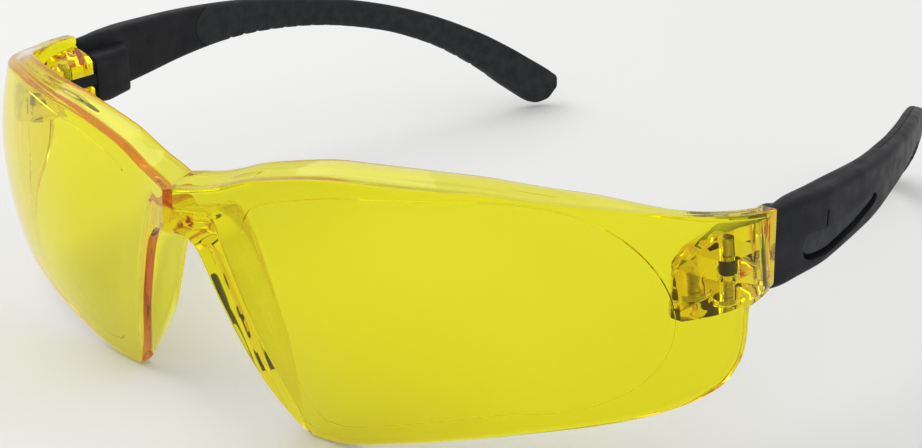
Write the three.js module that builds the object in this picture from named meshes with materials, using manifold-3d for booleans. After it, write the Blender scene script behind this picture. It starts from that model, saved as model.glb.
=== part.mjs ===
// Safety glasses: a one-piece tinted wrap lens that carries two folding temples.
// Millimetres. +X is the wearer's left, the lens faces -Y, the temples run back along +Y, +Z is up.
// Everything is drawn about the lens's front centre at mid height, then the whole object is moved so
// that it stands on z = 0 with its footprint centred on the origin.
import * as THREE from 'three';
import { mergeVertices } from 'three/addons/utils/BufferGeometryUtils.js';
import Module from 'manifold-3d';

const wasm = await Module();
wasm.setup();

// ---- Lens: a wall swept along a plan curve, given by arc length from the centre line ----
const LENS_WALL = 2.2; // thickness of the moulding
const LENS_TILT = 0.19; // radians: the lower edge comes back towards the face
const BARREL_R = 69.8; // vertical curvature of the wall
const BARREL_Z = -8.5; // height of the wall's foremost line
const WING_LEVEL = 10.5; // the side wings are upright, as far in as the curved wall is at this height
// heading of the wall in plan, degrees: a soft prow at the centre, then an ever tighter wrap
const HEADING = [[0, 23], [5, 14], [10, 7.5], [20, 4], [30, 11.2], [60, 35.9], [70, 48.2], [80, 66.5],
  [90, 85.8], [96, 93]];
const BROW_EDGE = [[0, 12.9], [5.6, 13.6], [14, 16.1], [28, 18.5], [47, 19], [62, 17.6], [72, 16.2],
  [80, 15.1], [94, 13.8], [100, 13.2]];
const BROW_DEPTH = [[0, 5.4], [28, 3.4], [61, 3.8], [76, 2.7], [86, 2.4], [100, 2.4]];
const BROW_RISE = [[0, 1.2], [28, 1.9], [61, 0.9], [80, 0.1], [100, 0]];
// how much further the upper edge leans in where the wall turns the corner
const BROW_ROLL = [[0, 0], [50, 0], [76, 2.4], [86, 1.9], [94, 0.5], [100, 0.3]];
const BROW_SHELF = 1.4; // thickness of the ledge along the brow
const BROW_STEP = { width: 1.1, share: 0.04 }; // the ledge's level front strip, and its share of the rise
const LOWER_EDGE = [[0, 6.6], [2.5, 6.4], [4.4, 5.1], [8.2, -3.7], [12.9, -15], [15.2, -18.9], [16.8, -21.2],
  [18.6, -22.1], [21.5, -22], [27, -20.9], [32, -19.2], [51, -13.7], [70, -9.8], [77, -7.6],
  [81, -4.4], [82.8, -0.8], [83.7, 2], [85, 3.1], [100, 3]];
// ---- Nose flanges: the nose edge turns back towards the face as two blades and an arch ----
const FLANGE_DEPTH = [[0, 7.4], [4, 8], [8, 8.8], [12.5, 7.4], [15, 4.8], [17, 2.3], [20, 2.2], [100, 2.2]];
const FLANGE_HEIGHT = [[0, 1.8], [3, 2.1], [4.6, 3.6], [6, 4.7], [12.5, 4.4], [15.5, 3], [17.5, 1.4],
  [100, 1.2]];
const FLANGE_SPLAY = [[0, 0.4], [4.3, 1.2], [8, 2.8], [12.5, 2.4], [15.5, 1], [17.5, 0], [100, 0]];
const STATIONS = [0, 1.5, 3, 4.3, 5.4, 6.8, 8.4, 10, 11.6, 13.2, 14.6, 15.8, 17.2, 19, 22, 26, 31, 37, 43, 49,
  55, 60, 64, 68, 71.5, 74.5, 77, 79.5, 81, 82, 82.8, 83.3, 83.8, 85, 87, 89, 91.5, 94, 97.5];
const WALL_ROWS = 7; // points up each face of the wall

// ---- Hinge: a tongue on the temple between two ears of the lens, on an upright pin ----
const HINGE_Y = 41.4; // the lens ends here, and the temple begins
const PIN = { x: 64.2, y: 35.8, r: 0.9, low: 2, high: 10.4, headR: 1.7, headHeight: 0.7 };
// the ears reach back round the pin; the lug's top rises by slope over run, from its front, and it
// falls from its ridge to the inside
const LUG = { inner: 61.6, front: 26.8, bottom: 2.4, top: 12.2, skin: 0.6, ear: 5.3, boss: 2.4, slope: 3.4,
  run: 7.5, ridge: 66, fall: 1.8 };
const TONGUE = { low: 5.9, high: 7.9, r: 1.9 };
const SLOT_GAP = 0.35;
const RUNNING_FIT = 0.08; // between the pin and the tongue that turns on it

// ---- Temple stations: [y, outer face x, top z, height, thickness] ----
const ARM = [
  [41.7, 68.6, 13.2, 11.2, 2], [45, 69.4, 13.3, 11.7, 2.7], [48, 70.1, 13.4, 11.5, 3.4],
  [55, 71.3, 13.3, 10.8, 4], [67, 71.6, 13, 9.2, 3.6], [79.9, 70.3, 12.4, 7.3, 3.4],
  [92.1, 67.6, 11.2, 6.2, 3.2], [104.3, 64.1, 9.2, 5.7, 3.1], [116, 60.5, 6.3, 5.8, 3.1],
  [127.4, 56.4, 2.2, 6.5, 3.2], [138.3, 51.8, -3.2, 8.2, 3.3], [144.6, 48, -7.4, 9.7, 3.4],
  [148.9, 45.2, -10.7, 10, 3.4], [152.1, 43.1, -13.1, 7.7, 3.1], [154.5, 41.5, -15, 3.6, 2.4],
];
const ARM_CHAMFER = 0.9;
// the arm's first stretch is thicker on the inside, from a share of its depth inwards
const FRONT_BLOCK = { end: 49.6, inner: 62.1, top: 10.8, share: 0.2 };
const GAP = 0.3; // between a soft moulding and the hard arm, and round the pin
const BEYOND = 120; // further out than any part of the glasses
const GRIP = { start: 75, endR: 4, share: 0.52, paddle: 124 }; // the soft liner and its paddle end
const RECESS = [[48.4, 6.9], [49.4, 8.1], [54, 7.7], [61, 7.6], [66.6, 8.4], [68.6, 8.4], [69.4, 7.5],
  [68.6, 6.7], [62, 5], [54, 3.8], [50.2, 3.9], [48.6, 4.9]]; // outline on the outer face, in y and z
const RECESS_CENTRE = [58, 6.1];
const RECESS_DEPTH = 1.6;
const INLAY_SUNK = 0.4;
const INLAY_RAISED = 0.8; // the inlay leaves this much of the recess open along its lower edge
const SIDE_WALL = 4; // the arm's thickness where the recess is

// A monotone cubic through the knots of a table, so an edge keeps its shape without overshoot.
function smooth(table, x) {
  const last = table.length - 1;
  if (x <= table[0][0]) return table[0][1];
  if (x >= table[last][0]) return table[last][1];
  const slope = (i) => (table[i + 1][1] - table[i][1]) / (table[i + 1][0] - table[i][0]);
  const tangent = (i) => {
    if (i === 0) return slope(0);
    if (i === last) return slope(last - 1);
    const a = slope(i - 1);
    const b = slope(i);
    return a * b <= 0 ? 0 : (2 * a * b) / (a + b);
  };
  let i = 0;
  while (table[i + 1][0] < x) i += 1;
  const h = table[i + 1][0] - table[i][0];
  const t = (x - table[i][0]) / h;
  return table[i][1] * (1 + 2 * t) * (1 - t) ** 2 + h * tangent(i) * t * (1 - t) ** 2
    + table[i + 1][1] * t * t * (3 - 2 * t) + h * tangent(i + 1) * t * t * (t - 1);
}

// A closed solid through a row of rings that all have the same number of points.
function loft(rings) {
  const count = rings[0].length;
  const positions = rings.flat().flatMap((p) => [p.x, p.y, p.z]);
  const index = [];
  for (let r = 0; r + 1 < rings.length; r += 1) {
    for (let k = 0; k < count; k += 1) {
      const a = r * count + k;
      const b = r * count + ((k + 1) % count);
      index.push(a, b, b + count, a, b + count, a + count);
    }
  }
  for (const end of [0, rings.length - 1]) {
    const ring = rings[end];
    const along = ring[1].clone().sub(ring[0]).normalize();
    const normal = new THREE.Vector3();
    ring.forEach((p, k) => normal.add(p.clone().cross(ring[(k + 1) % count])));
    const across = normal.normalize().clone().cross(along);
    const flat = ring.map((p) => new THREE.Vector2(p.dot(along), p.dot(across)));
    for (const [a, b, c] of THREE.ShapeUtils.triangulateShape(flat, [])) {
      const face = [a, b, c].map((k) => end * count + k);
      index.push(...(end === 0 ? face.reverse() : face));
    }
  }
  const geometry = new THREE.BufferGeometry();
  geometry.setAttribute('position', new THREE.Float32BufferAttribute(positions, 3));
  geometry.setIndex(index);
  return facingOut(geometry);
}

// Turns every face of a closed mesh over if it encloses a negative volume.
function facingOut(geometry) {
  const p = geometry.attributes.position;
  const index = geometry.index;
  const corner = (i) => new THREE.Vector3().fromBufferAttribute(p, index.getX(i));
  let volume = 0;
  for (let i = 0; i < index.count; i += 3) volume += corner(i).dot(corner(i + 1).cross(corner(i + 2)));
  if (volume < 0) {
    for (let i = 0; i < index.count; i += 3) {
      const keep = index.getX(i);
      index.setX(i, index.getX(i + 1));
      index.setX(i + 1, keep);
    }
  }
  return geometry;
}

function solid(geometry) {
  const bare = geometry.clone();
  bare.deleteAttribute('normal');
  bare.deleteAttribute('uv');
  const merged = facingOut(mergeVertices(bare, 1e-4));
  return new wasm.Manifold(new wasm.Mesh({
    numProp: 3,
    vertProperties: new Float32Array(merged.attributes.position.array),
    triVerts: new Uint32Array(merged.index.array),
  }));
}

function geometryOf(body) {
  const mesh = body.getMesh();
  const geometry = new THREE.BufferGeometry();
  geometry.setAttribute('position', new THREE.BufferAttribute(mesh.vertProperties, 3));
  geometry.setIndex(new THREE.BufferAttribute(mesh.triVerts, 1));
  return geometry;
}

const box = (x0, x1, y0, y1, z0, z1) => solid(new THREE.BoxGeometry(x1 - x0, y1 - y0, z1 - z0)
  .translate((x0 + x1) / 2, (y0 + y1) / 2, (z0 + z1) / 2));

const upright = (x, y, r, z0, z1, sides = 24) => solid(new THREE.CylinderGeometry(r, r, z1 - z0, sides)
  .rotateX(Math.PI / 2).translate(x, y, (z0 + z1) / 2));

// ---- The lens wall ----
const PLAN_STEP = 0.5;
const plan = [{ x: 0, y: 0 }];
for (let s = 0; s < 110; s += PLAN_STEP) {
  const heading = THREE.MathUtils.degToRad(smooth(HEADING, s + PLAN_STEP / 2));
  const from = plan.at(-1);
  plan.push({ x: from.x + Math.cos(heading) * PLAN_STEP, y: from.y + Math.sin(heading) * PLAN_STEP });
}

// A point of the wall: s along the plan curve, z up, n inwards from the outer surface.
function wall(s, z, n) {
  const i = Math.floor(s / PLAN_STEP);
  const t = s / PLAN_STEP - i;
  const x = THREE.MathUtils.lerp(plan[i].x, plan[i + 1].x, t);
  const y = THREE.MathUtils.lerp(plan[i].y, plan[i + 1].y, t);
  const turn = THREE.MathUtils.degToRad(smooth(HEADING, s)) * THREE.MathUtils.smoothstep(s, 6, 26);
  const lean = smooth(BROW_ROLL, s) * (Math.max(z, 0) / 17) ** 2;
  const level = THREE.MathUtils.lerp(z, WING_LEVEL, THREE.MathUtils.smoothstep(s, 78, 93));
  const inward = (level - BARREL_Z) ** 2 / (2 * BARREL_R) + lean + n;
  const back = Math.cos(turn) * inward - Math.tan(LENS_TILT) * z;
  return new THREE.Vector3(x - Math.sin(turn) * inward, y + back, z);
}

// The wall's section at one station: up the outer face, over the brow ledge, down the inner face,
// and back under the nose flange.
function lensRing(s) {
  const low = smooth(LOWER_EDGE, s);
  const top = smooth(BROW_EDGE, s);
  const depth = smooth(BROW_DEPTH, s);
  const rise = smooth(BROW_RISE, s);
  const blade = smooth(FLANGE_DEPTH, s);
  const foot = low + smooth(FLANGE_HEIGHT, s);
  const splay = smooth(FLANGE_SPLAY, s);
  const innerLow = foot + 0.5;
  const underside = top + rise - BROW_SHELF;
  const innerTop = underside - rise * (1 - LENS_WALL / depth);
  const ring = [];
  const share = (k) => k / (WALL_ROWS - 1);
  for (let k = 0; k < WALL_ROWS; k += 1) ring.push([0, THREE.MathUtils.lerp(low, top, share(k))]);
  ring.push([BROW_STEP.width, top + rise * BROW_STEP.share], [depth, top + rise], [depth, underside]);
  for (let k = 0; k < WALL_ROWS; k += 1) {
    ring.push([LENS_WALL, THREE.MathUtils.lerp(innerTop, innerLow, share(k))]);
  }
  ring.push([blade, foot + splay], [blade, low + splay]);
  return ring.map(([n, z]) => wall(s, z, n));
}

function lensShell() {
  const right = STATIONS.map(lensRing);
  const left = right.slice(1).reverse().map((ring) => ring.map((p) => new THREE.Vector3(-p.x, p.y, p.z)));
  return solid(loft([...left, ...right]));
}

// A slab that follows the inside of the wall round the corner, from one depth to another.
function wallBand(n0, n1, z0, z1) {
  const rings = [];
  for (let s = 66; s <= 99; s += 3) {
    const ring = [];
    for (let k = 0; k <= 3; k += 1) ring.push(wall(s, THREE.MathUtils.lerp(z0, z1, k / 3), n0));
    ring.push(wall(s, z1, n1), wall(s, z0, n1));
    rings.push(ring);
  }
  return solid(loft(rings));
}

// A prism across the arm or the lug, with its outline in y and z.
const sidePrism = (points, x0, x1) => solid(new THREE.ExtrudeGeometry(
  new THREE.Shape(points.map(([y, z]) => new THREE.Vector2(y, z))),
  { depth: x1 - x0, bevelEnabled: false },
).rotateX(Math.PI / 2).rotateZ(Math.PI / 2).translate(x0, 0, 0));

// A prism along the arm, with its outline in x and z.
const longPrism = (points, y0, y1) => solid(new THREE.ExtrudeGeometry(
  new THREE.Shape(points.map(([x, z]) => new THREE.Vector2(x, z))),
  { depth: y1 - y0, bevelEnabled: false },
).rotateX(Math.PI / 2).translate(0, y1, 0));

// The hinge lug on the +X side: a block that grows from the inside of the wall, with a sloping front,
// a round end about the pin and a low boss under it.
function lug() {
  const { inner, front, bottom, top, skin, ear, boss, slope, run, ridge, fall } = LUG;
  const outside = PIN.x + 14;
  const half = PIN.x - inner;
  const turn = Math.acos(half / ear);
  const shape = new THREE.Shape();
  shape.moveTo(inner, front + 1.2);
  shape.lineTo(inner + 1, front);
  shape.lineTo(outside, front);
  shape.lineTo(outside, HINGE_Y + 2);
  shape.lineTo(PIN.x + half, HINGE_Y + 2);
  shape.absarc(PIN.x, PIN.y, ear, turn, Math.PI - turn, false);
  const extrusion = { depth: top - bottom, bevelEnabled: false, curveSegments: 10 };
  const block = solid(new THREE.ExtrudeGeometry(shape, extrusion).translate(0, 0, bottom));
  const corner = [[front - 1, top - slope], [front, top - slope], [front + run, top], [front + run, top + 1],
    [front - 1, top + 1]];
  const steep = fall / (ridge - inner);
  const side = [[inner - 5, top - fall - 5 * steep], [ridge, top], [ridge, top + 1], [inner - 5, top + 1]];
  return block.subtract(sidePrism(corner, inner - 5, outside))
    .subtract(longPrism(side, front - 1, HINGE_Y + 3))
    .intersect(wallBand(skin, 15, bottom - 1, top + 1))
    .add(upright(PIN.x, PIN.y, boss, bottom - 0.9, bottom + 0.5));
}

// The room for the tongue between the ears, open towards the temple and the inside.
function lugSlot() {
  const z0 = TONGUE.low - SLOT_GAP;
  const z1 = TONGUE.high + SLOT_GAP;
  const r = TONGUE.r + SLOT_GAP;
  return upright(PIN.x, PIN.y, r, z0, z1)
    .add(box(PIN.x - 8, PIN.x + r, PIN.y, HINGE_Y + 3, z0, z1))
    .add(box(PIN.x - 8, PIN.x, PIN.y - r, HINGE_Y, z0, z1));
}

const mirrored = (body) => body.mirror([1, 0, 0]);

// The pin's hole through both ears, with a counterbore for its head.
const pinHole = () => upright(PIN.x, PIN.y, PIN.r + GAP, LUG.bottom - 3, PIN.high + GAP)
  .add(upright(PIN.x, PIN.y, PIN.headR + GAP, -2, PIN.low + PIN.headHeight + GAP));

function lens() {
  const rear = box(PIN.x - 14, BEYOND, HINGE_Y, BEYOND, -BEYOND, BEYOND);
  const cut = lugSlot().add(rear).add(pinHole());
  return lensShell().add(lug()).add(mirrored(lug())).subtract(cut).subtract(mirrored(cut));
}

function hingePin() {
  const profile = [[0, PIN.low], [PIN.headR, PIN.low], [PIN.headR, PIN.low + PIN.headHeight],
    [PIN.r, PIN.low + PIN.headHeight], [PIN.r, PIN.high], [0, PIN.high]];
  return solid(new THREE.LatheGeometry(profile.map(([r, z]) => new THREE.Vector2(r, z)), 24)
    .rotateX(Math.PI / 2).translate(PIN.x, PIN.y, 0));
}

// ---- The temple ----
// One cross-section of the arm, a chamfered rectangle between two shares of its thickness.
function armRing([y, outer, top, height, thickness], from, to, extra) {
  const x0 = outer - thickness * from;
  const x1 = outer - thickness * to;
  const z1 = top + extra;
  const z0 = top - height - extra;
  const c = Math.min(ARM_CHAMFER, (z1 - z0) / 3, (x0 - x1) / 3);
  const corners = [[x0, z0 + c], [x0, z1 - c], [x0 - c, z1], [x1 + c, z1], [x1, z1 - c], [x1, z0 + c],
    [x1 + c, z0], [x0 - c, z0]];
  return corners.map(([x, z]) => new THREE.Vector3(x, y, z));
}

function armAt(y) {
  return [y, ...[1, 2, 3, 4].map((k) => smooth(ARM.map((row) => [row[0], row[k]]), y))];
}

// The arm's solid from y0 to y1, with a ring about every 6 mm.
function arm(y0, y1, from = 0, to = 1, extra = 0) {
  const steps = Math.ceil((y1 - y0) / 6);
  const rings = [];
  for (let k = 0; k <= steps; k += 1) {
    rings.push(armRing(armAt(THREE.MathUtils.lerp(y0, y1, k / steps)), from, to, extra));
  }
  return solid(loft(rings));
}

// The thicker stretch behind the hinge, which tapers back into the arm over its last few millimetres.
function frontBlock() {
  const { end, inner, top, share } = FRONT_BLOCK;
  const rings = [HINGE_Y + GAP, 46, end, end + 3.2].map((y) => {
    const [, outer, armTop, height, thickness] = armAt(y);
    const thick = y > end ? thickness : outer - inner - 0.12 * (y - HINGE_Y);
    return armRing([y, outer, top, top - (armTop - height) - 0.4, thick], share, 1, 0);
  });
  return solid(loft(rings));
}

function tongue() {
  const { low, high, r } = TONGUE;
  const root = box(PIN.x - r, PIN.x + r, PIN.y, HINGE_Y + 2, low, high);
  const hole = upright(PIN.x, PIN.y, PIN.r + RUNNING_FIT, low - 1, high + 1);
  return root.add(upright(PIN.x, PIN.y, r, low, high)).subtract(hole);
}

// The region the soft liner fills: the inner part of the arm behind a round front end, then all of it.
function gripZone(gap) {
  const { start, endR, share, paddle } = GRIP;
  const inner = arm(start - endR - 7, paddle + 2, share + gap / SIDE_WALL, 2, 3);
  const [, outer, top, height] = armAt(start);
  const nose = solid(new THREE.CylinderGeometry(endR - gap, endR - gap, 40, 32).rotateZ(Math.PI / 2)
    .translate(outer, start, top - height / 2));
  const behind = (y) => box(0, BEYOND, y, 2 * BEYOND, -BEYOND, BEYOND);
  return inner.intersect(nose.add(behind(start))).add(behind(paddle + gap));
}

// A plate with the recess's outline, drawn in by a margin, that reaches through the arm's side.
function recessPlate(margin) {
  const centre = new THREE.Vector2(...RECESS_CENTRE);
  const points = RECESS.map(([y, z]) => {
    const p = new THREE.Vector2(y, z);
    return p.add(centre.clone().sub(p).normalize().multiplyScalar(margin)).toArray();
  });
  return sidePrism(points, PIN.x - 4, PIN.x + 16);
}

// The layer of the arm's side between two depths below its outer face, over the recess's length.
const sideLayer = (from, to) => arm(44, 76, from / SIDE_WALL, to / SIDE_WALL, 3);

const END = ARM.at(-1)[0];

function templeCore() {
  const recess = recessPlate(0).intersect(sideLayer(-SIDE_WALL, RECESS_DEPTH));
  const body = arm(HINGE_Y + GAP, END).add(frontBlock());
  return body.subtract(gripZone(0)).subtract(recess).add(tongue());
}

const templeGrip = () => arm(HINGE_Y + GAP, END).intersect(gripZone(GAP));

const templeInlay = () => recessPlate(GAP).intersect(recessPlate(GAP).translate([0, 0, INLAY_RAISED]))
  .intersect(sideLayer(INLAY_SUNK, RECESS_DEPTH - GAP));

// ---- Materials ----
const plastic = (color, roughness, more = {}) => new THREE.MeshStandardMaterial({
  color, roughness, metalness: 0, ...more,
});

const yellowPolycarbonate = () => plastic(0xddd31f, 0.08, { transparent: true, opacity: 0.6 });

const blackNylon = () => plastic(0x25262b, 0.45);

const greyRubber = () => plastic(0x393b40, 0.75);

const plainSteel = () => new THREE.MeshStandardMaterial({ color: 0x9b9ca0, roughness: 0.3, metalness: 1 });

// ---- Assembly ----
const glasses = new THREE.Group();

function add(name, body, material) {
  const mesh = new THREE.Mesh(geometryOf(body), material);
  mesh.name = name;
  glasses.add(mesh);
}

// Each piece of the +X side, and its mirror image on the other.
const PAIRS = [
  ['hinge_pin', hingePin, plainSteel],
  ['temple_core', templeCore, blackNylon],
  ['temple_grip', templeGrip, greyRubber],
  ['temple_inlay', templeInlay, greyRubber],
];

add('lens', lens(), yellowPolycarbonate());
for (const [name, make, material] of PAIRS) {
  add(`left_${name}`, make(), material());
  add(`right_${name}`, mirrored(make()), material());
}

const bounds = new THREE.Box3().setFromObject(glasses);
glasses.position.set(0, -(bounds.min.y + bounds.max.y) / 2, -bounds.min.z);

export default glasses;
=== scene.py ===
"""Safety glasses: the finished looks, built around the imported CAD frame.

The pieces are drawn in millimetres in the CAD's drawing frame (the lens's front centre is the origin)
and placed in metres by the left hinge pin's box: +X is the wearer's left, -Y the way the lens faces.
"""
import math

import bpy
import numpy as np
from mathutils import Matrix, Vector


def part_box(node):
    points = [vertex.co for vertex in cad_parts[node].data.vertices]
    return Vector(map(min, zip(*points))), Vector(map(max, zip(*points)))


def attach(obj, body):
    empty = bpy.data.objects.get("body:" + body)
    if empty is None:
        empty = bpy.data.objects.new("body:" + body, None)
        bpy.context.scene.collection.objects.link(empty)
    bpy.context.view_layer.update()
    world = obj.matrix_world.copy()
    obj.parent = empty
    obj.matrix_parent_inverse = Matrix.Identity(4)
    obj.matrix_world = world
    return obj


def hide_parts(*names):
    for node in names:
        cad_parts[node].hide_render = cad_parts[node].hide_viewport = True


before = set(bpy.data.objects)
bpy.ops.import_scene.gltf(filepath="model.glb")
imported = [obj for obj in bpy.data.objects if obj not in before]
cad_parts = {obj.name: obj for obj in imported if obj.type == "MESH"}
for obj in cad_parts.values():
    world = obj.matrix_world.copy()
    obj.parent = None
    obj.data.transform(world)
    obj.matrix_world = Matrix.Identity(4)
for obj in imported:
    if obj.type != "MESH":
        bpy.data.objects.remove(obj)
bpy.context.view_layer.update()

SIDES = ((1, "left"), (-1, "right"))

# ---- Lens: a wall swept along a plan curve, by arc length from the centre line, in millimetres ----
LENS_WALL = 2.2
LENS_TILT = 0.19
BARREL_R = 69.8
BARREL_Z = -8.5
WING_LEVEL = 10.5
HEADING = ((0, 23), (5, 14), (10, 7.5), (20, 4), (30, 11.2), (60, 35.9), (70, 48.2), (80, 66.5), (90, 85.8),
           (96, 93))
BROW_EDGE = ((0, 12.9), (5.6, 13.6), (14, 16.1), (28, 18.5), (47, 19), (62, 17.6), (72, 16.2), (80, 15.1),
             (94, 13.8), (100, 13.2))
BROW_DEPTH = ((0, 5.4), (28, 3.4), (61, 3.8), (76, 2.7), (86, 2.4), (100, 2.4))
BROW_RISE = ((0, 1.2), (28, 1.9), (61, 0.9), (80, 0.1), (100, 0))
BROW_ROLL = ((0, 0), (50, 0), (76, 2.4), (86, 1.9), (94, 0.5), (100, 0.3))
BROW_SHELF = 1.4  # the ledge's thickness
BROW_STEP = {"width": 1.1, "share": 0.04}  # the ledge's level front strip, and its share of the rise
LOWER_EDGE = ((0, 6.6), (2.5, 6.4), (4.4, 5.1), (8.2, -3.7), (12.9, -15), (15.2, -18.9), (16.8, -21.2),
              (18.6, -22.1), (21.5, -22), (27, -20.9), (32, -19.2), (51, -13.7), (70, -9.8), (77, -7.6),
              (81, -4.4), (82.8, -0.8), (83.7, 2), (85, 3.1), (100, 3))
FLANGE_DEPTH = ((0, 7.4), (4, 8), (8, 8.8), (12.5, 7.4), (15, 4.8), (17, 2.3), (20, 2.2), (100, 2.2))
FLANGE_HEIGHT = ((0, 1.8), (3, 2.1), (4.6, 3.6), (6, 4.7), (12.5, 4.4), (15.5, 3), (17.5, 1.4), (100, 1.2))
FLANGE_SPLAY = ((0, 0.4), (4.3, 1.2), (8, 2.8), (12.5, 2.4), (15.5, 1), (17.5, 0), (100, 0))
LENS_END = 97.5
# where sections are taken along each half: from, to, spacing
LENS_STATIONS = ((0, 20, 0.4), (20, 76, 0.7), (76, LENS_END, 0.45))
# the section's corners, in the order of lens_rings: how round each is, and the points on the side after it
LENS_RADII = (0.8, 0.28, 0.2, 0.9, 0.7, 0.35, 3.5, 0.7, 0.6)
LENS_ROWS = (40, 1, 1, 1, 3, 52, 2, 2, 4)
WALL_ROOT = 0.5  # how far above the flange's top the wall's inner face ends
# the viewing zone, sunk a little into the inside of each half, in arc length and height: its temple end
# is half an ellipse, its nose end a table, and its long sides keep a margin from the lens's edges. It is
# cut by a slab that stands a sheet's height inside the wall; fans counts the rings of the slab's two faces
ZONE = {"centre": (50, 3.5), "half_length": 22.5, "half_height": 14, "brow": ((14, 3.6), (50, 1.4)),
        "foot": 3.4, "middle": (42, 1), "step": 0.18, "sheet": 1, "tip_points": 60, "fans": (32, 16)}
ZONE_NOSE = ((21.2, -18.1), (20, -17), (19, -14.9), (17.5, -11), (14.5, -3), (12.1, 4), (11.4, 7.5),
             (11.6, 9.8), (12.6, 11.5), (14.3, 12.4))

# ---- Hinge: the pin stands upright at x, y ----
HINGE_Y = 41.4
PIN = {"x": 64.2, "y": 35.8, "r": 0.9, "low": 2.0, "high": 10.4, "head_r": 1.7, "head": 0.7}
LUG = {"inner": 61.6, "front": 26.8, "bottom": 2.4, "top": 12.2, "skin": 0.6, "ear": 5.3, "boss": 2.4,
       "slope": 3.4, "run": 7.5, "ridge": 66, "fall": 1.8}
TONGUE = {"low": 5.9, "high": 7.9, "r": 1.9, "chamfer": 0.2, "fit": 0.06}
SLOT_GAP = 0.35

# ---- Temple stations: y, outer face x, top z, height, thickness ----
ARM = (
    (41.7, 68.6, 13.2, 11.2, 2), (45, 69.4, 13.3, 11.7, 2.7), (48, 70.1, 13.4, 11.5, 3.4),
    (55, 71.3, 13.3, 10.8, 4), (67, 71.6, 13, 9.2, 3.6), (79.9, 70.3, 12.4, 7.3, 3.4),
    (92.1, 67.6, 11.2, 6.2, 3.2), (104.3, 64.1, 9.2, 5.7, 3.1), (116, 60.5, 6.3, 5.8, 3.1),
    (127.4, 56.4, 2.2, 6.5, 3.2), (138.3, 51.8, -3.2, 8.2, 3.3), (144.6, 48, -7.4, 9.7, 3.4),
    (148.9, 45.2, -10.7, 10, 3.4), (152.1, 43.1, -13.1, 7.7, 3.1), (154.5, 41.5, -15, 3.6, 2.4),
)
ARM_END = ARM[-1][0]
ARM_ROUND = 1.2
ARM_ROWS = (9, 4, 9, 4)
# the arm's first stretch is thicker on the inside, from a share of its thickness inwards
FRONT_BLOCK = {"end": 49.6, "blend": 3.2, "inner": 62.1, "narrowing": 0.12, "top": 10.8, "foot": 0.4,
               "share": 0.2}
GRIP = {"start": 75, "end_r": 4, "share": 0.52, "paddle": 124}
# grooves across the liner's lower edge: they fade in and out along y, and upwards by shares of the height
RIBS = {"pitch": 3.2, "depth": 0.4, "steepness": 3, "width": 1.6, "share": (0.05, 0.3), "start": (77, 80),
        "stop": (138, 142)}
RECESS = ((48.4, 6.9), (49.4, 8.1), (54, 7.7), (61, 7.6), (66.6, 8.4), (68.6, 8.4), (69.4, 7.5),
          (68.6, 6.7), (62, 5), (54, 3.8), (50.2, 3.9), (48.6, 4.9))
RECESS_CENTRE = (58, 6.1)
RECESS_ROUND = 0.9
RECESS_SPAN = (44, 76)
RECESS_DEPTH = 1.6
INLAY_SUNK = 0.4
INLAY_RAISED = 0.8
NOTCH = {"y": 53.5, "width": 0.4, "low": 8.1, "high": 10.4, "depth": 0.35}
SIDE_WALL = 4  # the arm's greatest thickness, which depths below its outer face are shares of
GAP = 0.3
SEAM = 0.12
EDGE_ROUND = {"lug": 0.35, "core": 0.22, "soft": 0.2}
OVER = 1  # how far a cutting shape runs past what it cuts
BEYOND = 120  # past the whole object

# ---- Colours: the dark and light tones that noise mixes, and the lens's depth colour ----
LENS_TONES = ((0.91, 0.885, 0.8), (0.925, 0.905, 0.84))
LENS_GLINT = (1.0, 0.93, 0.4, 1)
LENS_DEPTH = {"colour": (0.9978, 0.9889, 0.0, 1), "density": 1800}
LENS_IOR = 1.45
NYLON_TONES = ((0.011, 0.0115, 0.014), (0.019, 0.0195, 0.023))
LINER_TONES = ((0.018, 0.019, 0.022), (0.032, 0.034, 0.038))
INSERT_TONES = ((0.034, 0.035, 0.039), (0.055, 0.057, 0.062))
STEEL_TONES = ((0.5, 0.5, 0.51), (0.62, 0.62, 0.62))
FLOOR_TONES = ((0.86, 0.86, 0.855), (0.88, 0.88, 0.875))

# ---- Camera: the drawing frame's millimetres, degrees, and the focal length on its sensor ----
CAMERA = {"place": (144.76, -124.27, 84.78), "azimuth": 37.2, "elevation": 21.5, "lens": 58.9,
          "sensor": 36, "shift_y": -0.0239}

# ---- Floor and light, in metres and watts ----
FLOOR = {"half": 6, "below": 0.0002}
WORLD_LIGHT = 0.75
SOFTBOXES = (("key", (-0.5, -0.25, 0.8), (0.9, 0.7), 3.2), ("back", (0.2, 0.8, 0.7), (0.9, 0.4), 0.4))
LIGHT_AIM = (0, 0, 0.02)
BOUNCES = 64  # light is trapped in the lens for long: fewer would turn its thick edges black


# ---------------------------------------------------------------- numbers and curves
def smooth(table, x):
    """A monotone cubic through the knots of a table."""
    xs, ys = np.array(table, float).T
    x = np.clip(np.asarray(x, float), xs[0], xs[-1])
    slope = np.diff(ys) / np.diff(xs)
    product = slope[:-1] * slope[1:]
    total = np.where(product > 0, slope[:-1] + slope[1:], 1)
    tangent = np.concatenate([slope[:1], np.where(product > 0, 2 * product / total, 0), slope[-1:]])
    i = np.clip(np.searchsorted(xs, x, side="right") - 1, 0, len(xs) - 2)
    h = xs[i + 1] - xs[i]
    t = (x - xs[i]) / h
    rise = ys[i] * (1 + 2 * t) * (1 - t) ** 2 + h * tangent[i] * t * (1 - t) ** 2
    return rise + ys[i + 1] * t * t * (3 - 2 * t) + h * tangent[i + 1] * t * t * (t - 1)


def ease(x, a, b):
    """0 before a, 1 after b, and a smooth step between."""
    t = np.clip((x - a) / (b - a), 0, 1)
    return t * t * (3 - 2 * t)


def plan_curve(step=0.05, length=110):
    """Points of the lens's plan curve at every step of arc length."""
    s = np.arange(0, length, step)
    heading = np.radians(smooth(HEADING, s + step / 2))
    x = np.concatenate([[0], np.cumsum(np.cos(heading) * step)])
    y = np.concatenate([[0], np.cumsum(np.sin(heading) * step)])
    return np.append(s, length), x, y


PLAN = plan_curve()


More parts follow.
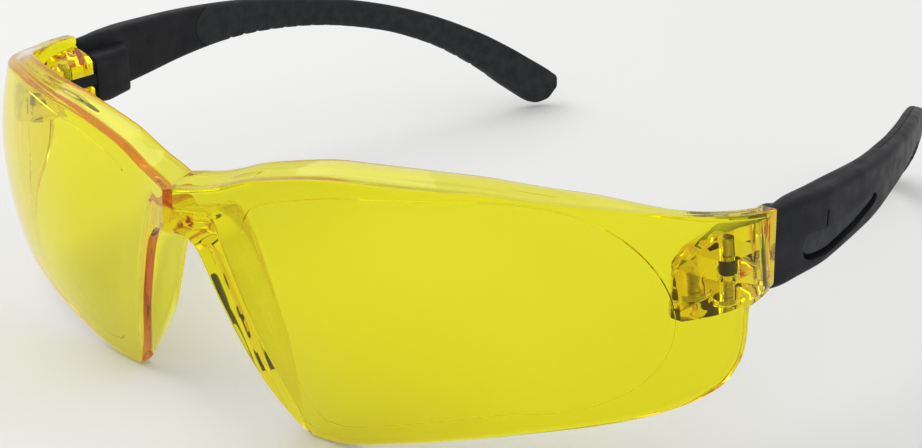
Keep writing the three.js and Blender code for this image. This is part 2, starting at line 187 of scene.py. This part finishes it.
def wall(s, z, n):
    """Points of the lens wall: s along the plan curve, z up, n inwards from the outer face."""
    x, y = np.interp(s, PLAN[0], PLAN[1]), np.interp(s, PLAN[0], PLAN[2])
    turn = np.radians(smooth(HEADING, s)) * ease(s, 6, 26)
    lean = smooth(BROW_ROLL, s) * (np.maximum(z, 0) / 17) ** 2
    level = z + (WING_LEVEL - z) * ease(s, 78, 93)
    inward = (level - BARREL_Z) ** 2 / (2 * BARREL_R) + lean + n
    back = np.cos(turn) * inward - math.tan(LENS_TILT) * z
    return np.stack([x - np.sin(turn) * inward, y + back, z + 0 * x], -1)


def rounded(corners, radii, rows, arc=4):
    """Rings with round corners. corners is (rings, corners, 2); rows is how many points lie inside
    each side, from a corner to the next."""
    count = corners.shape[1]
    after = np.roll(corners, -1, 1) - corners
    length = np.maximum(np.linalg.norm(after, axis=2), 1e-6)
    along = after / length[..., None]
    reach = np.minimum(np.minimum(0.46 * length, 0.46 * np.roll(length, 1, 1)), np.array(radii)[None])
    points = []
    for k in range(count):
        corner = corners[:, k]
        start = corner - along[:, k - 1] * reach[:, k, None]
        end = corner + along[:, k] * reach[:, k, None]
        for t in np.linspace(0, 1, arc + 1):
            points.append((1 - t) ** 2 * start + 2 * t * (1 - t) * corner + t * t * end)
        following = (k + 1) % count
        stop = corners[:, following] - along[:, k] * reach[:, following, None]
        for j in range(1, rows[k] + 1):
            points.append(end + (stop - end) * j / (rows[k] + 1))
    return np.stack(points, 1)


# ---------------------------------------------------------------- meshes
def new_object(name, vertices, faces):
    mesh = bpy.data.meshes.new(name)
    mesh.from_pydata([tuple(v) for v in vertices], [], faces)
    mesh.update()
    made = bpy.data.objects.new(name, mesh)
    bpy.context.scene.collection.objects.link(made)
    return made


def loft(name, rings):
    """A closed solid through rings of equal length, with flat ends."""
    count, size = rings.shape[:2]
    faces = []
    for r in range(count - 1):
        for k in range(size):
            a, b = r * size + k, r * size + (k + 1) % size
            faces.append((a, b, b + size, a + size))
    faces.append(tuple(reversed(range(size))))
    faces.append(tuple(range((count - 1) * size, count * size)))
    made = new_object(name, rings.reshape(-1, 3), faces)
    face_out(made)
    return made


def signed_volume(mesh):
    mesh.calc_loop_triangles()
    co = np.empty(len(mesh.vertices) * 3)
    mesh.vertices.foreach_get("co", co)
    index = np.empty(len(mesh.loop_triangles) * 3, int)
    mesh.loop_triangles.foreach_get("vertices", index)
    a, b, c = co.reshape(-1, 3)[index.reshape(-1, 3)].transpose(1, 0, 2)
    return float((a * np.cross(b, c)).sum())


def face_out(made):
    if signed_volume(made.data) < 0:
        made.data.flip_normals()


def extruded(name, outline, axis, low, high):
    """A prism: a closed outline in the plane across an axis (0 = X, 1 = Y, 2 = Z), from low to high."""
    rings = []
    for level in (low, high):
        ring = np.insert(np.array(outline, float), axis, level, axis=1)
        rings.append(ring)
    return loft(name, np.stack(rings))


def slab(x, y, z):
    """A cutting box, given by its two limits on each axis."""
    return extruded("slab", [(x[0], y[0]), (x[1], y[0]), (x[1], y[1]), (x[0], y[1])], 2, *z)


def disc(centre, r, sides=64):
    turn = np.linspace(0, 2 * math.pi, sides, endpoint=False)
    return [(centre[0] + r * math.cos(a), centre[1] + r * math.sin(a)) for a in turn]


def turned(name, profile, sides=64):
    """A lathe about the hinge pin's axis: the profile is rows of radius and height, with r > 0."""
    rings = [[(PIN["x"] + x, PIN["y"] + y, z) for x, y in disc((0, 0), r, sides)] for r, z in profile]
    return loft(name, np.array(rings))


def combine(made, other, operation):
    """Joins, cuts or intersects a solid with another, which is used up."""
    step = made.modifiers.new("combine", "BOOLEAN")
    step.solver = "MANIFOLD"
    step.operation = operation
    step.object = other
    bake(made)
    bpy.data.objects.remove(other)
    return made


def bevel(made, width, angle=38, segments=3):
    step = made.modifiers.new("bevel", "BEVEL")
    step.width = width
    step.segments = segments
    step.limit_method = "ANGLE"
    step.angle_limit = math.radians(angle)
    step.miter_outer = "MITER_ARC"
    bake(made)
    return made


def bake(made):
    """Puts the result of an object's modifiers into its mesh."""
    graph = bpy.context.evaluated_depsgraph_get()
    mesh = bpy.data.meshes.new_from_object(made.evaluated_get(graph))
    made.modifiers.clear()
    made.data = mesh


# ---------------------------------------------------------------- the lens
def lens_rings(s):
    """Sections of the wall: outer face, brow ledge, inner face, nose flange."""
    low, top = smooth(LOWER_EDGE, s), smooth(BROW_EDGE, s)
    depth, rise = smooth(BROW_DEPTH, s), smooth(BROW_RISE, s)
    blade, splay = smooth(FLANGE_DEPTH, s), smooth(FLANGE_SPLAY, s)
    foot = low + smooth(FLANGE_HEIGHT, s)
    inner, step = LENS_WALL + 0 * s, BROW_STEP["width"] + 0 * s
    under = top + rise - BROW_SHELF
    corners = [(0 * s, low), (0 * s, top), (step, top + rise * BROW_STEP["share"]), (depth, top + rise),
               (depth, under), (inner, under - rise * (1 - inner / depth)), (inner, foot + WALL_ROOT),
               (blade, foot + splay), (blade, low + splay)]
    section = rounded(np.stack([np.stack(c, -1) for c in corners], 1), LENS_RADII, LENS_ROWS)
    n, z = section[..., 0], section[..., 1]
    along = np.repeat(s[:, None], n.shape[1], 1)
    return wall(along, z, n)


def zone_outline():
    """Arc length and height round the viewing zone."""
    (s0, z0), length, height = ZONE["centre"], ZONE["half_length"], ZONE["half_height"]
    turn = np.linspace(math.pi / 2, -math.pi / 2, ZONE["tip_points"])
    temple_end = np.stack([s0 + length * np.cos(turn), z0 + height * np.sin(turn)], -1)
    s = np.arange(s0 - 1, ZONE_NOSE[0][0] + 2, -1)
    foot = np.stack([s, smooth(LOWER_EDGE, s) + ZONE["foot"]], -1)
    s = np.arange(ZONE_NOSE[-1][0] + 2, s0, 1)
    brow = np.stack([s, np.minimum(smooth(BROW_EDGE, s) - smooth(ZONE["brow"], s), z0 + height)], -1)
    knots = np.arange(len(ZONE_NOSE))
    fine = np.linspace(0, len(ZONE_NOSE) - 1, 4 * len(ZONE_NOSE))
    nose_end = np.stack([np.interp(fine, knots, column) for column in np.array(ZONE_NOSE).T], -1)
    return np.concatenate([temple_end, foot, nose_end, brow])


def zone_cutter():
    """A thin slab along the inside of the wall, with the viewing zone's outline and sides that slope."""
    outline, middle = zone_outline(), np.array(ZONE["middle"])
    outward = (outline - middle) / np.linalg.norm(outline - middle, axis=1)[:, None]
    wide = outline + outward * (ZONE["step"] + ZONE["sheet"])
    inside, above = LENS_WALL - ZONE["step"], LENS_WALL + ZONE["sheet"]
    fine, coarse = ZONE["fans"]
    rings = [wall(*(middle + f * (outline - middle)).T, inside) for f in np.linspace(0.02, 1, fine)]
    rings += [wall(*(middle + f * (wide - middle)).T, above) for f in np.linspace(1, 0.02, coarse)]
    return loft("zone", np.stack(rings))


def lens_shell():
    """The lens without its hinges: the sections of one half, and their mirror images."""
    right = lens_rings(np.concatenate([np.arange(*span) for span in LENS_STATIONS]))
    left = right[:0:-1] * (-1, 1, 1)
    return loft("lens_clear", np.concatenate([left, right]))


def wall_band(n0, n1, z0, z1):
    """A slab that follows the inside of the wall round the corner."""
    s = np.arange(66, 100, 0.75)
    section = [(n0, z) for z in np.linspace(z0, z1, 9)] + [(n1, z1), (n1, z0)]
    rings = [wall(s, z + 0 * s, n + 0 * s) for n, z in section]
    return loft("band", np.stack(rings, 1))


def lug():
    """The hinge lug: a block inside the wall with a sloping front, a round end and a low boss."""
    inner, front, outside = LUG["inner"], LUG["front"], PIN["x"] + 14
    low, top, ear, slope, run = LUG["bottom"], LUG["top"], LUG["ear"], LUG["slope"], LUG["run"]
    half = PIN["x"] - inner
    turn = math.acos(half / ear)
    back = HINGE_Y + 2 * OVER
    outline = [(inner, front + 1.2), (inner + 1, front), (outside, front), (outside, back),
               (PIN["x"] + half, back)]
    outline += [(PIN["x"] + ear * math.cos(a), PIN["y"] + ear * math.sin(a))
                for a in np.linspace(turn, math.pi - turn, 24)]
    block = extruded("lug", outline, 2, low, top)
    corner = [(front - OVER, top - slope), (front, top - slope), (front + run, top),
              (front + run, top + OVER), (front - OVER, top + OVER)]
    combine(block, extruded("slope", corner, 0, inner - 5, outside), "DIFFERENCE")
    ridge, fall = LUG["ridge"], LUG["fall"]
    steep = fall / (ridge - inner)
    side = [(inner - 5, top - fall - 5 * steep), (ridge, top), (ridge, top + OVER), (inner - 5, top + OVER)]
    combine(block, extruded("side", side, 1, front - OVER, HINGE_Y + 3 * OVER), "DIFFERENCE")
    bevel(block, EDGE_ROUND["lug"])
    combine(block, wall_band(LUG["skin"], 15, low - OVER, top + OVER), "INTERSECT")
    r = LUG["boss"]
    boss = turned("boss", [(r - 0.3, low - 0.9), (r, low - 0.6), (r, low + 0.5)])
    return combine(block, boss, "UNION")


def lens_cut():
    """What the hinge takes out of the lens: the slot, the pin's holes, and all behind the joint."""
    low, high = TONGUE["low"] - SLOT_GAP, TONGUE["high"] + SLOT_GAP
    r, x, y = TONGUE["r"] + SLOT_GAP, PIN["x"], PIN["y"]
    cut = turned("cut", [(r, low), (r, high)])
    combine(cut, slab((x - 8, x + r), (y, HINGE_Y + 3 * OVER), (low, high)), "UNION")
    combine(cut, slab((x - 8, x), (y - r, HINGE_Y), (low, high)), "UNION")
    combine(cut, slab((x - 14, BEYOND), (HINGE_Y, BEYOND), (-BEYOND, BEYOND)), "UNION")
    hole, head = PIN["r"] + SEAM, PIN["head_r"] + SEAM
    combine(cut, turned("hole", [(hole, LUG["bottom"] - 3), (hole, PIN["high"] + GAP)]), "UNION")
    return combine(cut, turned("head", [(head, -2), (head, PIN["low"] + PIN["head"] + SEAM)]), "UNION")


def mirrored(made, side):
    """The piece itself on the left, and its mirror image on the right."""
    if side < 0:
        made.data.transform(Matrix.Diagonal((-1, 1, 1, 1)))
        made.data.flip_normals()
    return made


def lens():
    body = lens_shell()
    for side, _ in SIDES:
        combine(body, mirrored(zone_cutter(), side), "DIFFERENCE")
        combine(body, mirrored(lug(), side), "UNION")
        combine(body, mirrored(lens_cut(), side), "DIFFERENCE")
    return body


def hinge_pin(name):
    r, head, low, high = PIN["r"], PIN["head_r"], PIN["low"], PIN["high"]
    shoulder = low + PIN["head"]
    return turned(name, [(0.35, low + 0.3), (0.6, low + 0.05), (head - 0.25, low), (head, low + 0.2),
                         (head, shoulder - 0.1), (head - 0.1, shoulder), (r, shoulder),
                         (r, high - 0.25), (r - 0.25, high)])


# ---------------------------------------------------------------- the temples
def arm_at(y):
    table = np.array(ARM, float)
    return [smooth(table[:, [0, k]], y) for k in (1, 2, 3, 4)]


def arm(name, y0, y1, share=(0, 1), extra=0, spacing=1.0, ribs=False, station=arm_at):
    """A stretch of the arm, between two shares of its thickness, with round corners. extra is added
    above and below."""
    y = np.linspace(y0, y1, max(2, int((y1 - y0) / spacing) + 1))
    outer, top, height, thick = station(y)
    x0, x1 = outer - thick * share[0], outer - thick * share[1]
    z0, z1 = top - height - extra, top + extra
    corners = np.stack([np.stack(c, -1) for c in ((x0, z0), (x0, z1), (x1, z1), (x1, z0))], 1)
    section = rounded(corners, (ARM_ROUND,) * 4, ARM_ROWS)
    x, z = section[..., 0], section[..., 1]
    along = np.repeat(y[:, None], x.shape[1], 1)
    if ribs:
        z = z + liner_ribs(along, (z - z0[:, None]) / (z1 - z0)[:, None])
    return loft(name, np.stack([x, along, z], -1))


def liner_ribs(y, share):
    """How far the shallow grooves raise the liner's lower edge, which fades out up its height."""
    groove = np.clip(np.cos(2 * math.pi * y / RIBS["pitch"]) * RIBS["steepness"] - RIBS["width"], 0, 1)
    along = ease(y, *RIBS["start"]) * (1 - ease(y, *RIBS["stop"]))
    return RIBS["depth"] * groove * (1 - ease(share, *RIBS["share"])) * along


def block_at(y):
    """Stations of the front block, which is thicker on the inside and lower than the arm."""
    outer, top, height, thick = arm_at(y)
    end = FRONT_BLOCK["end"]
    deep = outer - FRONT_BLOCK["inner"] - FRONT_BLOCK["narrowing"] * (y - HINGE_Y)
    deep = deep + (thick - deep) * ease(y, end, end + FRONT_BLOCK["blend"])
    block_top = FRONT_BLOCK["top"] + 0 * y
    return outer, block_top, block_top - (top - height) - FRONT_BLOCK["foot"], deep


def tongue():
    """The round knuckle that turns on the pin, and the neck that joins it to the front block."""
    low, high, r, edge = TONGUE["low"], TONGUE["high"], TONGUE["r"], TONGUE["chamfer"]
    knuckle = turned("knuckle", [(r - edge, low), (r, low + edge), (r, high - edge), (r - edge, high)])
    neck = slab((PIN["x"] - r, PIN["x"] + r), (PIN["y"], HINGE_Y + 2 * OVER), (low, high))
    combine(knuckle, neck, "UNION")
    hole = PIN["r"] + TONGUE["fit"]
    return combine(knuckle, turned("hole", [(hole, low - OVER), (hole, high + OVER)]), "DIFFERENCE")


def grip_zone(gap):
    """What the soft liner fills: the inner part of the arm behind a round front end, then all of it."""
    start, r = GRIP["start"], GRIP["end_r"]
    _, top, height, _ = arm_at(start)
    zone = arm("zone", start - r - 7, GRIP["paddle"] + 2, (GRIP["share"] + gap / SIDE_WALL, 2), 3)
    reach = extruded("reach", disc((start, top - height / 2), r - gap, 96), 0, 0, 100)
    combine(reach, slab((-10, BEYOND), (start, 2 * BEYOND), (-BEYOND, BEYOND)), "UNION")
    combine(zone, reach, "INTERSECT")
    behind = slab((-10, BEYOND), (GRIP["paddle"] + gap, 2 * BEYOND), (-BEYOND, BEYOND))
    return combine(zone, behind, "UNION")


def recess_plate(margin, up=0):
    """The recess's outline, smoothed, drawn in by a margin, raised, and pushed through the arm's side."""
    points = np.array(RECESS, float)
    inward = np.array(RECESS_CENTRE) - points
    points = points + inward / np.linalg.norm(inward, axis=1)[:, None] * margin
    outline = rounded(points[None], (RECESS_ROUND,) * len(points), (1,) * len(points))[0] + (0, up)
    return extruded("plate", outline, 0, PIN["x"] - 4, PIN["x"] + 16)


def side_layer(low, high):
    """The layer of the arm's side between two depths below its outer face."""
    return arm("layer", *RECESS_SPAN, (low / SIDE_WALL, high / SIDE_WALL), 3)


def temple_core(name):
    core = arm(name, HINGE_Y + GAP, ARM_END)
    block_end = FRONT_BLOCK["end"] + FRONT_BLOCK["blend"]
    block = arm("block", HINGE_Y + GAP, block_end, (FRONT_BLOCK["share"], 1), station=block_at)
    combine(core, block, "UNION")
    combine(core, grip_zone(0), "DIFFERENCE")
    recess = combine(recess_plate(0), side_layer(-SIDE_WALL, RECESS_DEPTH), "INTERSECT")
    combine(core, recess, "DIFFERENCE")
    half = NOTCH["width"] / 2
    notch = slab((60, 80), (NOTCH["y"] - half, NOTCH["y"] + half), (NOTCH["low"], NOTCH["high"]))
    combine(notch, side_layer(-SIDE_WALL, NOTCH["depth"]), "INTERSECT")
    combine(core, notch, "DIFFERENCE")
    bevel(core, EDGE_ROUND["core"])
    return combine(core, tongue(), "UNION")


def temple_grip(name):
    liner = arm(name, HINGE_Y + GAP, ARM_END, spacing=0.4, ribs=True)
    combine(liner, grip_zone(SEAM), "INTERSECT")
    return bevel(liner, EDGE_ROUND["soft"])


def temple_inlay(name):
    inlay = combine(recess_plate(SEAM), side_layer(INLAY_SUNK, RECESS_DEPTH - SEAM), "INTERSECT")
    combine(inlay, recess_plate(SEAM, INLAY_RAISED), "INTERSECT")
    inlay.name = name
    return bevel(inlay, EDGE_ROUND["soft"])


# ---------------------------------------------------------------- materials
class Nodes:
    """A short way to write a node material."""

    def __init__(self, name):
        self.material = bpy.data.materials.new(name)
        self.material.use_nodes = True
        self.tree = self.material.node_tree
        self.shader = self.tree.nodes["Principled BSDF"]
        self.place = self.tree.nodes.new("ShaderNodeTexCoord").outputs["Object"]

    def link(self, source, target):
        self.tree.links.new(source, target)

    def noise(self, size, detail=4, stretch=(1, 1, 1)):
        """Noise whose cells are about size metres."""
        scale = self.tree.nodes.new("ShaderNodeMapping")
        scale.inputs["Scale"].default_value = [1 / size * k for k in stretch]
        self.link(self.place, scale.inputs["Vector"])
        noise = self.tree.nodes.new("ShaderNodeTexNoise")
        noise.inputs["Scale"].default_value = 1
        noise.inputs["Detail"].default_value = detail
        self.link(scale.outputs["Vector"], noise.inputs["Vector"])
        return noise.outputs["Fac"]

    def cells(self, size):
        """Distance to the nearest of many scattered points, about size metres apart."""
        voronoi = self.tree.nodes.new("ShaderNodeTexVoronoi")
        voronoi.inputs["Scale"].default_value = 1 / size
        self.link(self.place, voronoi.inputs["Vector"])
        return voronoi.outputs["Distance"]

    def tones(self, source, dark, light, stops=(0.3, 0.7)):
        """Mottles the base colour between a dark and a light tone, by stops of the source's value."""
        ramp = self.tree.nodes.new("ShaderNodeValToRGB")
        for element, stop, colour in zip(ramp.color_ramp.elements, stops, (dark, light)):
            element.position = stop
            element.color = (*colour, 1)
        self.link(source, ramp.inputs["Fac"])
        self.link(ramp.outputs["Color"], self.shader.inputs["Base Color"])

    def roughness(self, source, low, high):
        """Varies the roughness with a noise."""
        self.link(self.span(source, low, high), self.shader.inputs["Roughness"])

    def span(self, source, low, high):
        """Maps the middle of a noise to low..high."""
        node = self.tree.nodes.new("ShaderNodeMapRange")
        node.inputs["From Min"].default_value = 0.3
        node.inputs["From Max"].default_value = 0.7
        node.inputs["To Min"].default_value = low
        node.inputs["To Max"].default_value = high
        self.link(source, node.inputs["Value"])
        return node.outputs["Result"]

    def bump(self, layers):
        """Stacks bumps, given as height source, strength and depth in metres."""
        normal = None
        for source, strength, depth in layers:
            node = self.tree.nodes.new("ShaderNodeBump")
            node.inputs["Strength"].default_value = strength
            node.inputs["Distance"].default_value = depth
            self.link(source, node.inputs["Height"])
            if normal:
                self.link(normal, node.inputs["Normal"])
            normal = node.outputs["Normal"]
        self.link(normal, self.shader.inputs["Normal"])

    def set(self, **values):
        """Sets the shader's own sockets, whose names have underscores for spaces here."""
        for name, value in values.items():
            self.shader.inputs[name.replace("_", " ")].default_value = value


def polycarbonate():
    """Clear yellow moulding: the colour is in the depth, so thick edges turn orange."""
    nodes = Nodes("yellow_polycarbonate")
    nodes.set(IOR=LENS_IOR, Metallic=0.0, Transmission_Weight=1.0, Specular_Tint=LENS_GLINT)
    nodes.tones(nodes.noise(0.02, 2), *LENS_TONES, (0.35, 0.65))
    nodes.roughness(nodes.noise(0.006, 5), 0.0, 0.03)
    nodes.bump([(nodes.noise(0.012, 1), 0.06, 0.0002), (nodes.noise(0.0012, 3), 0.02, 0.00002)])
    absorb = nodes.tree.nodes.new("ShaderNodeVolumeAbsorption")
    absorb.inputs["Color"].default_value = LENS_DEPTH["colour"]
    absorb.inputs["Density"].default_value = LENS_DEPTH["density"]
    nodes.link(absorb.outputs["Volume"], nodes.tree.nodes["Material Output"].inputs["Volume"])
    return nodes.material


def nylon():
    """Satin near-black moulding with a fine spark-eroded grain and slightly rubbed patches."""
    nodes = Nodes("black_nylon")
    nodes.set(Specular_IOR_Level=0.12)
    nodes.tones(nodes.noise(0.004, 6), *NYLON_TONES)
    nodes.roughness(nodes.noise(0.003, 5), 0.42, 0.58)
    nodes.bump([(nodes.cells(0.0004), 0.35, 0.00004), (nodes.noise(0.0012, 4), 0.25, 0.00006)])
    return nodes.material


def rubber(name, tones):
    """Matt soft moulding with a coarser leathery grain."""
    nodes = Nodes(name)
    nodes.set(Specular_IOR_Level=0.15)
    nodes.tones(nodes.noise(0.002, 6), *tones)
    nodes.roughness(nodes.noise(0.0025, 4), 0.58, 0.75)
    nodes.bump([(nodes.cells(0.0006), 0.5, 0.00008), (nodes.noise(0.0016, 4), 0.3, 0.00008)])
    return nodes.material


def steel():
    """Turned steel with fine rings round the pin."""
    nodes = Nodes("turned_steel")
    nodes.set(Metallic=1.0)
    nodes.tones(nodes.noise(0.001, 4), *STEEL_TONES)
    rings = nodes.noise(0.0008, 3, (0.2, 0.2, 14))
    nodes.roughness(rings, 0.22, 0.4)
    nodes.bump([(rings, 0.3, 0.00001)])
    return nodes.material


def paper():
    """The pale floor."""
    nodes = Nodes("pale_floor")
    nodes.set(Roughness=0.9)
    nodes.tones(nodes.noise(0.3, 2), *FLOOR_TONES)
    nodes.bump([(nodes.noise(0.002, 3), 0.05, 0.0001)])
    return nodes.material


# ---------------------------------------------------------------- placing and finishing
def drawing_offset():
    """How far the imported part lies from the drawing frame, in millimetres: the left pin tells."""
    low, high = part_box("left_hinge_pin")
    middle = (Vector(low) + Vector(high)) / 2
    return Vector((0, middle.y * 1000 - PIN["y"], low[2] * 1000 - PIN["low"]))


OFFSET = drawing_offset()


def finish_piece(made, body, node, material, angle=32):
    """Puts a piece in place in metres, smooths it, gives it its body and material, and hides its CAD node.
    """
    made.data.transform(Matrix.Scale(0.001, 4) @ Matrix.Translation(OFFSET))
    made.data.shade_smooth()
    made.data.set_sharp_from_angle(angle=math.radians(angle))
    made.data.materials.clear()
    made.data.materials.append(material)
    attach(made, body)
    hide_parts(node)


def build_glasses():
    """All nine pieces: each replaces its CAD node and moves with the node's body."""
    black, steel_grey = nylon(), steel()
    liner, insert = rubber("liner_rubber", LINER_TONES), rubber("insert_rubber", INSERT_TONES)
    finish_piece(lens(), "front", "lens", polycarbonate())
    for side, word in SIDES:
        temple = f"{word}_temple"
        for make, body, node, slot, material in (
                (hinge_pin, "front", "hinge_pin", "pin", steel_grey),
                (temple_core, temple, "temple_core", "temple", black),
                (temple_grip, temple, "temple_grip", "grip", liner),
                (temple_inlay, temple, "temple_inlay", "grip", insert)):
            made = mirrored(make(f"{word}_{node}_shape"), side)
            finish_piece(made, body, f"{word}_{node}", material)


# ---------------------------------------------------------------- floor, light, camera
def floor():
    half = FLOOR["half"]
    corners = [(-half, -half, 0), (half, -half, 0), (half, half, 0), (-half, half, 0)]
    made = new_object("floor", corners, [(0, 1, 2, 3)])
    made.location.z = -FLOOR["below"]
    made.data.materials.append(paper())


def softbox(name, place, size, power):
    """An area light aimed at the middle of the glasses."""
    light = bpy.data.lights.new(name, "AREA")
    light.shape = "RECTANGLE"
    light.size, light.size_y = size
    light.energy = power
    lamp = bpy.data.objects.new(name, light)
    lamp.location = place
    aim = Vector(LIGHT_AIM) - lamp.location
    lamp.rotation_euler = aim.to_track_quat("-Z", "Y").to_euler()
    bpy.context.scene.collection.objects.link(lamp)


def lighting():
    world = bpy.data.worlds.new("studio")
    world.use_nodes = True
    backing = world.node_tree.nodes["Background"]
    backing.inputs["Color"].default_value = (1, 1, 1, 1)
    backing.inputs["Strength"].default_value = WORLD_LIGHT
    bpy.context.scene.world = world
    for row in SOFTBOXES:
        softbox(*row)


def camera():
    data = bpy.data.cameras.new("camera")
    data.lens = CAMERA["lens"]
    data.sensor_width = CAMERA["sensor"]
    data.shift_y = CAMERA["shift_y"]
    data.clip_start = 0.01
    made = bpy.data.objects.new("camera", data)
    made.location = (Vector(CAMERA["place"]) + OFFSET) / 1000
    made.rotation_euler = (math.radians(90 - CAMERA["elevation"]), 0, math.radians(CAMERA["azimuth"]))
    bpy.context.scene.collection.objects.link(made)
    bpy.context.scene.camera = made


def render_settings():
    scene = bpy.context.scene
    scene.view_settings.view_transform = "Standard"
    scene.cycles.max_bounces = BOUNCES
    scene.cycles.glossy_bounces = BOUNCES
    scene.cycles.transmission_bounces = BOUNCES
    scene.cycles.transparent_max_bounces = 16
    scene.cycles.use_denoising = True


build_glasses()
floor()
lighting()
camera()
render_settings()
